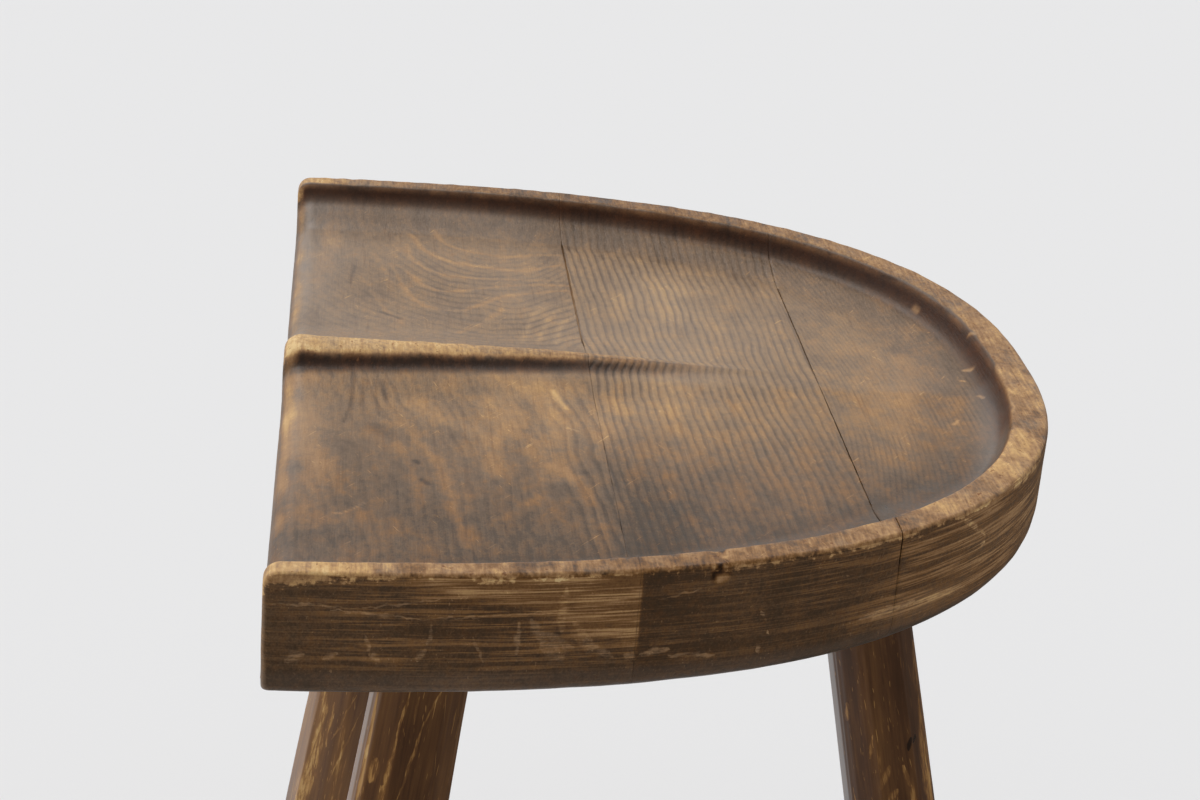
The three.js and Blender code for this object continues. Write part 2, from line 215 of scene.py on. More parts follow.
def half_sections(top_points, *directions):
    """Half sections of the seat, each from its centre over the top, down and back under.
    The directions are rows of the centres' x and y, then of the way that each section goes."""
    centre_x, centre_y, across, back = (row[:, None] for row in directions)
    out = outline_reach(centre_x, centre_y, across, back)
    hit_y = centre_y + back * out
    slope = outline_slope(centre_x + across * out, hit_y)
    slant = np.hypot(*slope) / (slope[0] * np.abs(across) + slope[1] * back)
    reach = out - edge_drop(centre_y, corner_radius)
    round_radius = mix(under_round_front, under_round_back, (hit_y / seat_depth) ** 2)
    low = edge_drop(centre_y, under_front_arris)

    # The top's points stand closer together at the ridge and at the rim.
    share = np.linspace(0, 1, top_points)
    share = share - point_crowding * np.sin(2 * math.pi * share)
    radius = (reach - rim_arris * slant) * share
    top = (radius, top_height(centre_x + across * radius, centre_y + back * radius))

    turn = np.linspace(0, math.pi / 2, arris_points)[1:]
    crest = thickness - edge_drop(hit_y, front_arris)
    arris = (reach - rim_arris * (1 - np.sin(turn)) * slant, crest - rim_arris * (1 - np.cos(turn)))

    foot = np.maximum(round_radius, low)
    down = np.linspace(0, 1, wall_points)[1:]
    wall = (reach + 0 * down, mix(crest - rim_arris, foot, down))

    turn = np.linspace(0, math.pi / 2, round_points)[1:]
    under = (reach - round_radius * (1 - np.cos(turn)) * slant,
             np.maximum(round_radius * (1 - np.sin(turn)), low))

    inward = np.linspace(1, 0, under_points)[1:]
    flat = ((reach - round_radius * slant) * inward, low + 0 * inward)

    out, height = (np.concatenate(part, 1) for part in zip(top, arris, wall, under, flat))
    return np.stack([centre_x + across * out, centre_y + back * out, height], -1)


def sheet_faces(index):
    """Four-cornered faces between neighbours in a grid of point numbers."""
    return np.stack([
        index[:-1, :-1], index[:-1, 1:], index[1:, 1:], index[1:, :-1]], -1).reshape(-1, 4)


def closing_faces(points, loop):
    """Triangles that close a flat loop of point numbers."""
    triangles = tessellate_polygon([[Vector(points[k]) for k in loop]])
    return [[int(loop[k]) for k in triangle] for triangle in triangles]


def solid_mesh(name, points, quads, triangles, flat):
    """A closed mesh with its faces outwards. The flat triangles keep a crisp edge."""
    mesh = bpy.data.meshes.new(name)
    mesh.from_pydata(points.tolist(), [], quads.tolist() + triangles + flat)
    work = bmesh.new()
    work.from_mesh(mesh)
    work.faces.ensure_lookup_table()
    for face in work.faces[:len(quads) + len(triangles)]:
        face.smooth = True
    bmesh.ops.remove_doubles(work, verts=work.verts, dist=1e-5)
    bmesh.ops.recalc_face_normals(work, faces=work.faces)
    work.to_mesh(mesh)
    work.free()
    return mesh


def cross_board(name, rows, top_points, has_front):
    """A board across the whole seat, from one full section at each row."""
    across = np.ones(len(rows))
    axis = ridge_axis(rows)
    right = half_sections(top_points, axis, rows, across, 0 * across)
    left = half_sections(top_points, axis, rows, -across, 0 * across)
    rings = np.concatenate([right, left[:, -2:0:-1]], 1)
    count = rings.shape[1]
    points = rings.reshape(-1, 3)
    index = np.arange(len(points)).reshape(len(rows), count)
    quads = sheet_faces(np.concatenate([index, index[:, :1]], 1))
    flat = closing_faces(points, index[-1])
    if not has_front:
        flat += closing_faces(points, index[0])
        return solid_mesh(name, points, quads, [], flat)

    # The front face, with a column under each point of the top.
    edge = top_points + arris_points - 1
    ring = index[0]
    columns = np.concatenate([ring[count - edge + 1:], ring[:edge]])
    wall = ring[edge:edge + wall_points - 1]
    foot = points[wall[-1]][2]
    share = (points[wall][:, 2] - foot) / (points[ring[edge - 1]][2] - foot)
    heights = foot + (points[columns][:, 2] - foot)[None, :] * share[:, None]
    grid = np.stack(np.broadcast_arrays(points[columns][:, 0], rows[0], heights), -1)
    inner = len(points) + np.arange(heights.size).reshape(heights.shape)
    points = np.concatenate([points, grid.reshape(-1, 3)])
    quads = np.concatenate([quads, sheet_faces(np.concatenate([columns[None, :], inner]))])
    bottom = ring[edge + wall_points - 2:count - edge - wall_points + 3]
    under = closing_faces(points, [*inner[-1], *bottom[1:-1]])
    return solid_mesh(name, points, quads, under, flat)


def fan_board(name, first_row, steps, top_points):
    """The back board, from half sections fanned about the middle of its joint."""
    angle = np.linspace(0, math.pi, steps)
    places = half_sections(
        top_points, 0 * angle, first_row + 0 * angle, np.cos(angle), np.sin(angle))
    points = places.reshape(-1, 3)
    index = np.arange(len(points)).reshape(places.shape[:2])
    flat = closing_faces(points, index[0]) + closing_faces(points, index[-1])
    return solid_mesh(name, points, sheet_faces(index), [], flat)


def read_vectors(items, field):
    values = np.empty(len(items) * 3)
    items.foreach_get(field, values)
    return values.reshape(-1, 3)


def mesh_places(mesh):
    return read_vectors(mesh.vertices, "co"), read_vectors(mesh.vertex_normals, "vector")


def finish_piece(name, mesh, places, masks, material):
    """Puts a piece in the frame, keeps its masks on its points and gives it its finish."""
    mesh.vertices.foreach_set("co", places.ravel())
    for mask, values in masks.items():
        kind, field = ("FLOAT", "value") if values.ndim == 1 else ("FLOAT_VECTOR", "vector")
        attribute = mesh.attributes.new(mask, kind, "POINT")
        attribute.data.foreach_set(field, values.astype(np.float32).ravel())
    mesh.materials.append(material)
    mesh.update()
    piece = show(name, mesh)
    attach(piece, "root")
    return piece


# The finish that all three boards share: dark stain over softwood, waxed by use, worn
# through to brown, gold and bare straw colour where people sat and carried it. Its colour
# also holds painted shade down the walls and a painted grey sheen where it is waxed.
def paint(red, green, blue):
    """A colour from its 0 to 255 display values."""
    return tuple(((v / 255 + 0.055) / 1.055) ** 2.4 if v > 10 else v / 3295
                 for v in (red, green, blue)) + (1,)


class Signal:
    """A node's output. Sums on it add the maths nodes that work them out."""

    def __init__(self, tree, socket):
        self.tree = tree
        self.socket = socket

    def __add__(self, other):
        return calc("ADD", self, other)

    def __sub__(self, other):
        return calc("SUBTRACT", self, other)

    def __rsub__(self, other):
        return calc("SUBTRACT", other, self)

    def __mul__(self, other):
        return calc("MULTIPLY", self, other)

    def beside(self, name):
        return Signal(self.tree, self.socket.node.outputs[name])


def fill(inputs, **feeds):
    """Links signals to inputs and sets plain values on them. Names have underscores."""
    for name, value in feeds.items():
        key = int(name[1:]) if name[1:].isdigit() else name.replace("_", " ")
        if isinstance(value, Signal):
            value.tree.links.new(value.socket, inputs[key])
        else:
            inputs[key].default_value = value


def add(tree, kind, settings=None, output=0, **feeds):
    """One output of a new node, with its settings and inputs."""
    node = tree.nodes.new(kind)
    for name, value in (settings or {}).items():
        setattr(node, name, value)
    fill(node.inputs, **feeds)
    return Signal(tree, node.outputs[output])


def calc(operation, *values, clamp=False, output=0):
    """A maths node on signals and numbers, or a vector one where the signal is a vector."""
    signal = next(value for value in values if isinstance(value, Signal))
    feeds = {f"i{k}": value for k, value in enumerate(values)}
    if signal.socket.type in ("VECTOR", "RGBA"):
        return add(signal.tree, "ShaderNodeVectorMath", {"operation": operation}, output, **feeds)
    settings = {"operation": operation, "use_clamp": clamp}
    return add(signal.tree, "ShaderNodeMath", settings, **feeds)


def step_between(value, low, high, to_low=0, to_high=1):
    return add(value.tree, "ShaderNodeMapRange", {"interpolation_type": "SMOOTHSTEP"},
               Value=value, From_Min=low, From_Max=high, To_Min=to_low, To_Max=to_high)


def blend(kind, share, a, b):
    settings = {"data_type": "RGBA", "blend_type": kind}
    return add(share.tree, "ShaderNodeMix", settings, 2, i0=share, i6=a, i7=b)


def mask_of(tree, name, output="Fac"):
    return add(tree, "ShaderNodeAttribute", {"attribute_name": name}, output)


def noise(place, cells_per_metre, detail=3, roughness=0.55):
    """Noise from -0.5 to 0.5, with so many swells to the metre along each axis."""
    return add(place.tree, "ShaderNodeTexNoise", None, "Fac", Vector=place * cells_per_metre,
               Scale=1, Detail=detail, Roughness=roughness) - 0.5


def colour_steps(value, stops):
    colour = add(value.tree, "ShaderNodeValToRGB", Fac=value)
    ramp = colour.socket.node.color_ramp
    ramp.elements[0].position, ramp.elements[0].color = stops[0]
    ramp.elements[1].position, ramp.elements[1].color = stops[-1]
    for position, shade in stops[1:-1]:
        ramp.elements.new(position).color = shade
    return colour


def bump(height, strength):
    return add(height.tree, "ShaderNodeBump", Height=height, Strength=strength, Distance=0.0003)


def new_finish(name):
    """A new material, with its node tree and the inputs of its shader."""
    material = bpy.data.materials.new(name)
    material.use_nodes = True
    return material, material.node_tree, material.node_tree.nodes["Principled BSDF"].inputs


def new_group(group_name, inputs, outputs, group_kind="ShaderNodeTree"):
    """A group with named sockets. Its inputs come back as signals, its outputs to be filled."""
    group = bpy.data.node_groups.new(group_name, group_kind)
    for name, kind, value in inputs:
        socket = group.interface.new_socket(name, in_out="INPUT", socket_type="NodeSocket" + kind)
        if value is not None:
            socket.default_value = value
    for name, kind in outputs:
        group.interface.new_socket(name, in_out="OUTPUT", socket_type="NodeSocket" + kind)
    entry = group.nodes.new("NodeGroupInput").outputs
    given = {name: Signal(group, entry[name]) for name, _, _ in inputs}
    return group, given, group.nodes.new("NodeGroupOutput").inputs


# The hard late wood of a year's ring rises, then falls, between these shares of the ring.
ring_rise, ring_fall = (0.05, 0.5), (0.82, 1)
ring_middle = 0.55


def ring_line(share):
    """How proud the hard late wood stands, by the share of the way through a year's ring."""
    return rise(share, ring_rise[0], np.ptp(ring_rise)) * fall(share, ring_fall[0], np.ptp(ring_fall))


def build_ring_group():
    group, given, made = new_group("growth_ring", [("Ring", "Float", 0)], [("Line", "Float")])
    share = calc("FRACT", given["Ring"])
    fill(made, Line=step_between(share, *ring_rise) * step_between(share, *ring_fall, 1, 0))
    return group


def build_fibre_group():
    """Fine fibres and pores, long with the grain and fine across it."""
    group, given, made = new_group(
        "fibre", [("Vector", "Vector", None), ("Along", "Vector", (60, 1400, 1400))],
        [("Fibre", "Float"), ("Pores", "Float")])
    place = given["Vector"] * given["Along"]
    coarse = noise(place, (0.45, 0.45, 0.45), 1)
    fill(made, Fibre=noise(place, (1, 1, 1), 3, 0.6), Pores=step_between(coarse, 0.1, 0.22))
    return group


def build_scratch_group():
    """Strength of a ragged scratch at a place, between two ends and of so many metres' width."""
    group, given, made = new_group(
        "scratch", [("Vector", "Vector", None), ("Start", "Vector", None),
                    ("End", "Vector", None), ("Width", "Float", 0.001)], [("Scratch", "Float")])
    run = given["End"] - given["Start"]
    away = given["Vector"] - given["Start"]
    along = calc("DOT_PRODUCT", away, run, output="Value")
    share = calc("DIVIDE", along, calc("DOT_PRODUCT", run, run, output="Value"), clamp=True)
    foot = add(group, "ShaderNodeVectorMath", {"operation": "SCALE"}, i0=run, Scale=share)
    gap = calc("DISTANCE", away, foot, output="Value")
    from_end = 1 - calc("ABSOLUTE", share * 2 - 1)
    reach = given["Width"] * (calc("POWER", from_end, 0.5) * 0.75 + 0.25)
    closeness = calc("SUBTRACT", 1, calc("DIVIDE", gap, reach), clamp=True)
    fill(made, Scratch=step_between(closeness, 0, 0.7))
    return group


def build_fleck_group():
    """Fine random scratches that all run one way, thinner or thicker with the limit."""
    group, given, made = new_group(
        "flecks", [("Vector", "Vector", None), ("Turn", "Vector", None),
                   ("Cells", "Vector", (90, 1500, 1500)), ("Limit", "Float", 0.2)],
        [("Flecks", "Float")])
    turned = add(group, "ShaderNodeMapping", Vector=given["Vector"], Rotation=given["Turn"])
    over = noise(turned, given["Cells"], 1) - given["Limit"]
    fill(made, Flecks=step_between(over, 0, 0.06))
    return group


ring_group = build_ring_group()
fibre_group = build_fibre_group()
scratch_group = build_scratch_group()
fleck_group = build_fleck_group()


def use_group(group, tree, **feeds):
    return add(tree, "ShaderNodeGroup", {"node_tree": group}, **feeds)


def most(*signals):
    return functools.reduce(lambda a, b: calc("MAXIMUM", a, b), signals)


def flecks(place, *runs):
    """Fine scratches. A run is its turn in degrees, its cells to the metre and its limit."""
    return most(*[
        use_group(fleck_group, place.tree, Vector=place, Cells=Vector(cells), Limit=limit,
                  Turn=Vector([math.radians(angle) for angle in turn]))
        for turn, cells, limit in runs])


def scratches(place, marks, x=0):
    """Scratches in one mask. A mark is its start and its end as (y, z), its width and strength."""
    return most(*[
        use_group(scratch_group, place.tree, Vector=place, Start=Vector((x, *start)) * mm,
                  End=Vector((x, *end)) * mm, Width=width * mm) * strength
        for start, end, width, strength in marks])


stain_steps = [
    (0, paint(46, 34, 21)), (0.2, paint(79, 60, 41)), (0.4, paint(122, 98, 75)),
    (0.58, paint(155, 126, 94)), (0.78, paint(192, 158, 114)), (1, paint(222, 196, 152))]
gold_steps = [
    (0, paint(48, 30, 13)), (0.2, paint(91, 59, 28)), (0.4, paint(134, 95, 54)),
    (0.58, paint(164, 125, 84)), (0.78, paint(199, 158, 104)), (1, paint(226, 194, 140))]
wax_grey = paint(122, 113, 106)
dark_grime = paint(152, 110, 68)

# Marks on the side that faces the camera, as (y, z) ends, width and strength.
side_marks = [
    ((7.5, 13), (13, 15), 2.6, 0.5), ((19, 13.5), (23, 16), 1.8, 0.35),
    ((31.4, 22), (33.5, 15.5), 1.1, 0.4), ((34.2, 16), (36, 13), 2, 0.5),
    ((51.5, 26), (50.6, 19), 0.8, 0.35), ((50, 17), (47.4, 13.2), 1.8, 0.6),
    ((64.5, 21.5), (67.5, 13), 0.8, 0.4), ((78.2, 27), (77.5, 15.5), 1.4, 0.45),
    ((82, 27), (87, 19), 3, 0.35), ((86, 19), (92.5, 13.5), 4.2, 0.4),
    ((85, 23), (95, 17), 2.4, 0.3), ((91.9, 38), (91, 23), 2.2, 0.35),
    ((95, 26), (101, 18), 1.6, 0.3), ((96, 20), (108, 13), 2.4, 0.4),
    ((112, 14), (115, 12), 2.4, 0.5),
    ((2.6, 32.6), (29.5, 31.4), 0.7, 0.45), ((29.5, 31.4), (53.6, 34.6), 0.7, 0.4),
    ((20.7, 30.6), (47.8, 27.7), 0.7, 0.45), ((47.8, 27.7), (90.5, 29.8), 0.6, 0.35),
    ((121.7, 32.2), (134.3, 34.6), 0.7, 0.4), ((155.7, 23.2), (156.8, 24), 1.6, 0.8),
    ((158.3, 16.7), (158.9, 17), 1.2, 0.7), ((155.3, 10.8), (156.5, 11), 1.8, 0.6),
    ((117, 13.5), (126, 15), 2, 0.6), ((126, 12.5), (141, 11), 1.6, 0.5),
    ((190.7, 14.7), (211, 16), 2.2, 0.5), ((211, 15), (231.9, 13.9), 1.8, 0.45),
    ((227.6, 39.9), (238.1, 29.8), 1.2, 0.6), ((236.5, 27.5), (238.5, 26.5), 2, 0.8)]


def seat_finish():
    material, tree, shader = new_finish("stained_worn_seat")
    place = add(tree, "ShaderNodeTexCoord", None, "Object")
    ring = use_group(ring_group, tree, Ring=mask_of(tree, "ring"))
    line = (ring - ring_middle) * mask_of(tree, "ring_depth")
    fibre = use_group(fibre_group, tree, Vector=place)
    side = mask_of(tree, "side")
    bare = mask_of(tree, "bare")

    rubbed = noise(place, (70, 110, 110), 5, 0.62) * (1 - side * 0.7)
    mottle = noise(place, (330, 420, 420), 4, 0.6)
    strokes = noise(place, (90, 900, 900), 2, 0.6)
    grain = noise(place, (900, 1500, 1500), 2, 0.6)
    wear = mask_of(tree, "wear") + line * 0.28 + fibre * 0.12 + grain * 0.16 + rubbed * 0.34
    wear += mottle * (bare * 0.42 - side * 0.12 + 0.26) + strokes * (bare * 0.45 + 0.08)

    # The end grain on the sides: fine level streaks, in two sizes.
    streak = noise(place, (40, 40, 1600), 2, 0.6) * 0.8
    streak += noise(place, (14, 14, 560), 4, 0.65)
    streak = step_between(streak, -0.1, 0.16) * side * mask_of(tree, "streaks")
    wear += streak * 0.4

    # The ragged line along the rim where the stain stops, and the bare wood above it.
    frayed = noise(place, (60, 60, 240), 4, 0.65) * 0.014 + mottle * 0.008
    bared = step_between(mask_of(tree, "edge") + frayed, -0.0006, 0.001) * side
    wear += bared * 0.34 + bared * mottle * 0.8

    # Scratches: those that stand out on the near side, and fine ones everywhere.
    on_side = place * (0, 1, 1) - (0, seat_low.y, seat_low.z)
    wander = add(tree, "ShaderNodeTexNoise", None, "Color", Vector=place, Scale=260, Detail=2)
    wander = (wander - (0.5, 0.5, 0.5)) * (0, 0.003, 0.003)
    broken = step_between(noise(place, (200, 200, 1000), 4, 0.7), -0.14, 0.12)
    scratch = scratches(on_side + wander, side_marks) * (broken * 0.85 + 0.15)
    scratch *= mask_of(tree, "near_side")
    fine = flecks(place, ((0, 0, 38), (70, 1300, 700), 0.21),
                  ((20, 0, -24), (90, 1600, 700), 0.22), ((0, 30, 80), (420, 900, 900), 0.25))
    fine *= step_between(rubbed, -0.1, 0.12)
    wear += scratch * 0.52 + fine * 0.25

    # The colour: grey brown or golden brown by the wear, then wax with a painted grey sheen mixed in,
    # and grime with painted shade multiplied on it.
    gold = mask_of(tree, "gold") + line * 0.25 + rubbed * 1.6 + mottle * 0.9
    gold += bared * 0.4 + streak * 0.8
    gold = most(step_between(gold, 0.12, 0.95), most(scratch, fine) * 0.9)
    colour = blend("MIX", gold, colour_steps(wear, stain_steps), colour_steps(wear, gold_steps))
    waxed = mask_of(tree, "wax")
    # A painted grey sheen, mixed in as far as the wax mask and the rubbing say.
    wax = step_between(waxed + rubbed * 0.8, 0.1, 1.1) * 0.45
    colour = blend("MIX", wax, colour, wax_grey)
    colour = blend("MULTIPLY", mask_of(tree, "grime"), colour, dark_grime)
    pits = step_between(mottle, 0.1, 0.2) * (bare * 0.6 + 0.15) + fibre.beside("Pores") * 0.16
    colour = blend("MULTIPLY", pits, colour, dark_grime)
    fill(shader, Base_Color=colour, Roughness=wear * 0.3 + rubbed * 0.3 + 0.32,
         Normal=bump(fibre + (strokes + mottle - pits) * 0.8, 0.45),
         Coat_Weight=waxed * 0.4, Coat_Roughness=0.32, Specular_IOR_Level=0.16)
    return material


seat_material = seat_finish()


# What is worn, dark or open on the seat as a whole, in seat coordinates.
def spot(x, y, centre_x, centre_y, half_x, half_y):
    """1 at the middle of an oval place, falling to 0 at its edge."""
    return 1 - smooth(np.hypot((x - centre_x) / half_x, (y - centre_y) / half_y))


def line_gap(x, y, points):
    """Distance to a line through the points, with its corners cut round."""
    points = np.array(points, float)
    for _ in range(2):
        early = 0.75 * points[:-1] + 0.25 * points[1:]
        late = 0.25 * points[:-1] + 0.75 * points[1:]
        cut = np.stack([early, late], 1).reshape(-1, 2)
        points = np.concatenate([points[:1], cut, points[-1:]])
    gap = np.full(len(x), 1e6)
    for start, end in zip(points, points[1:]):
        run = end - start
        share = ((x - start[0]) * run[0] + (y - start[1]) * run[1]) / (run @ run)
        share = np.clip(share, 0, 1)
        gap = np.minimum(gap, np.hypot(x - start[0] - share * run[0], y - start[1] - share * run[1]))
    return gap


# Places of the floor that sitters wore lighter, as (x, y, half x, half y, how much).
worn_places = [
    (-90, 150, 60, 45, 0.05), (20, 150, 80, 50, 0.05), (-20, 228, 85, 30, 0.06),
    (50, 215, 40, 25, 0.03)]

# What stands out on the top, as lines of (x, y) points with a half width, and how much more
# worn and more golden it is: growth lines in the far scoop, worn tongues in the near one,
# then dark grain and a knot, three scratches, and the chips in the dark wall at the tip.
top_marks = [
    ([(-158, 60), (-143, 64), (-135, 75), (-130, 88), (-134, 100), (-135.5, 113)], 2.4, 0.1, 0.5),
    ([(-154, 50), (-137, 54), (-128, 59), (-120, 69), (-116, 83), (-113, 95), (-123, 112)],
     2.6, 0.12, 0.6),
    ([(-141, 48), (-125, 49), (-114, 54), (-105, 63), (-103, 74), (-103, 90), (-104, 114)],
     2.4, 0.1, 0.4),
    ([(-115, 44), (-102, 50), (-92, 54), (-86, 61), (-88, 71), (-98, 92), (-98.5, 114)],
     2.6, 0.12, 0.5),
    ([(-117, 41), (-88, 46), (-75, 50), (-67, 56), (-64, 67), (-71, 75), (-83, 85), (-86, 93),
      (-93, 113)], 2.4, 0.11, 0.5),
    ([(-41, 66), (-46, 72), (-57, 79), (-68, 85)], 2.6, 0.09, 0.4),
    ([(-82, 113), (-72, 100), (-54, 95), (-30, 91)], 2.2, 0.1, 0.1),
    ([(-75, 115), (-70, 106), (-51, 101), (-30, 97)], 2, 0.1, 0.1),
    ([(-65, 115), (-56, 108), (-30, 104)], 1.8, 0.1, 0.1),
    ([(-95, 31), (-74, 35), (-59, 40), (-50, 45)], 2.4, 0.07, 0.3),
    ([(-130, 33), (-112, 38), (-96, 40)], 2.4, 0.07, 0.3),
    ([(-158, 15), (-138, 16), (-116, 12), (-93, 11)], 8, 0.08, 0.4),
    ([(29, 47), (41, 56), (49, 64), (56, 72), (72, 75.5), (87, 77)], 8, 0.11, 0.25),
    ([(4, 80), (30, 81), (52, 79)], 14, 0.1, 0.25),
    ([(5, 95), (29, 98), (60, 95), (88, 96)], 14, 0.12, 0.25),
    ([(80, 96), (90, 103), (110, 107), (127, 108)], 5, 0.1, 0.35),
    ([(64, 42), (84, 46.5), (110, 49.5)], 3, 0.07, 0.25),
    ([(48, 44), (72, 53), (92, 58), (113, 58), (128, 62), (144, 64)], 4, 0.1, 0.35),
    ([(43, 5), (71, 13), (90, 14), (116, 11), (131, 12)], 14, 0.11, 0.3),
    ([(17, 3), (16, 11)], 9, 0.08, 0.5),
    ([(105, 90), (122, 76)], 4, 0.08, 0.3),
    ([(10, 26), (28, 26), (48, 23)], 1.3, -0.16, 0), ([(14, 30), (33, 29)], 1.3, -0.12, 0),
    ([(14, 34), (41, 35.5)], 1.3, -0.12, 0), ([(14, 37), (27, 38)], 1.3, -0.14, 0),
    ([(52, 34), (56, 38)], 6, -0.12, 0), ([(79, 48), (81, 49)], 1.8, -0.2, 0),
    ([(94, 50), (97, 51.5)], 2.2, -0.22, 0), ([(-113, 26), (-92, 24)], 1.5, -0.16, 0.1),
    ([(-61, 37), (-54, 44)], 1.6, -0.2, 0),
    ([(122, 21), (121.5, 24), (113, 31)], 1, 0.2, 0.3), ([(15, 100), (30, 104)], 1.8, 0.2, 0.1),
    ([(47, 103), (50, 107)], 1.4, 0.2, 0.1), ([(-72, 254), (-69, 255)], 1.6, 0.2, 0.5),
    ([(-31, 267), (-28, 269)], 1.3, 0.3, 0.5), ([(-13, 262), (-11, 264)], 1.5, 0.3, 0.5),
    ([(34, 248), (31, 250)], 1.7, 0.25, 0.5), ([(12, 262), (15, 263)], 1.3, 0.3, 0.5),
    ([(-4, 259), (-3, 260)], 1, 0.3, 0.5)]

# How worn the crests of the rim and of the ridge are, from front to back.
rim_wear_places = (0, 25, 60, 100, 150, 190, 240, 282)
rim_wear_levels = (0.81, 0.66, 0.46, 0.4, 0.38, 0.44, 0.54, 0.56)
ridge_wear_places = (0, 40, 80, 115, 145, 180)
ridge_wear_levels = (0.82, 0.72, 0.64, 0.52, 0.44, 0.4)


def rim_knot(x, y, z):
    """The chipped knot on the outer edge of the rim, on the side that faces the camera."""
    return spot(y, z, 140.7, 40.5, 4.5, 6.5) * rise(x, 150, 10)


def lay(masks, share, **levels):
    """Brings masks to other levels, as far as the share says."""
    for name, level in levels.items():
        masks[name] = mix(masks[name], level, share)


def floor_masks(x, y, inside, near, swell, patch, nick):
    """The hollow's floor and wall, before the ridge, the rim and the sides are laid on."""
    wear = 0.37 + 0.1 * rise(inside, 8, 40) - 0.16 * rise(x, 20, 100) - 0.05 * rise(x, 95, 45)
    wear += 0.05 * (swell + patch) - 0.07 * rise(y, 112, 10) * rise(x, 20, 80)
    for *place, more in worn_places:
        wear += more * spot(x, y, *place) * (1 + 0.5 * patch)
    gold = 0.2 + 0.3 * spot(x, y, -8, 232, 90, 38) + 0.14 * swell + 0.15 * patch + 0.16 * near
    chips = np.zeros(len(x))
    ragged = 1 + 0.35 * patch + 0.45 * nick
    for points, half, more_wear, more_gold in top_marks:
        on_front_board = points[0][1] < front_joint
        share = 1 - smooth(line_gap(x, y, points) / (half * ragged))
        share *= (y < front_joint) == on_front_board
        if not on_front_board:
            chips = np.maximum(chips, share)
        wear += more_wear * share
        gold += more_gold * share
    # Wax, with a painted grey sheen: most on the front lip and in a strip inside the near rim.
    wax = 0.34 + 0.35 * fall(y, 4, 34) - 0.3 * near + 0.25 * swell
    wax += 0.75 * near * smooth(inside / 2) * fall(inside, 4, 15)
    # The walls get grime and painted shade, most on the far wall, which faces the camera and away
    # from the light.
    wall = fall(inside, 1.5, 9) * rise(inside, -2, 2.5)
    grime = wall * (1 - 0.7 * rise(x, 45, 24)) * (1 - 0.8 * chips)
    lip = rise(inside, -1, 1.2) * fall(inside, 0.2, 1.4) * (1 - 0.5 * near)
    return {
        "wear": wear + (0.1 + 0.2 * nick) * lip, "gold": gold + 0.5 * lip, "wax": wax,
        "grime": grime * (1 - 0.3 * lip)}


def side_wear_at(x, y, z, band, swell, patch):
    """The sides are dark but for a golden band, two pale places and the front corners."""
    corner = np.maximum(rise(np.abs(x) - half_width - 1.5 * patch, -4, 3), 0.25 + 0.4 * patch)
    wear = 0.18 + 0.03 * swell + 0.11 * band + 0.03 * (y < front_joint) + 0.06 * rise(y, 150, 60)
    wear += 0.16 * spot(y, z, 215, 14, 32, 8) + 0.1 * spot(y, z, 246, 28, 30, 20)
    return wear + 0.2 * fall(y - 0.6 * patch, 0.6, 1.2) * corner


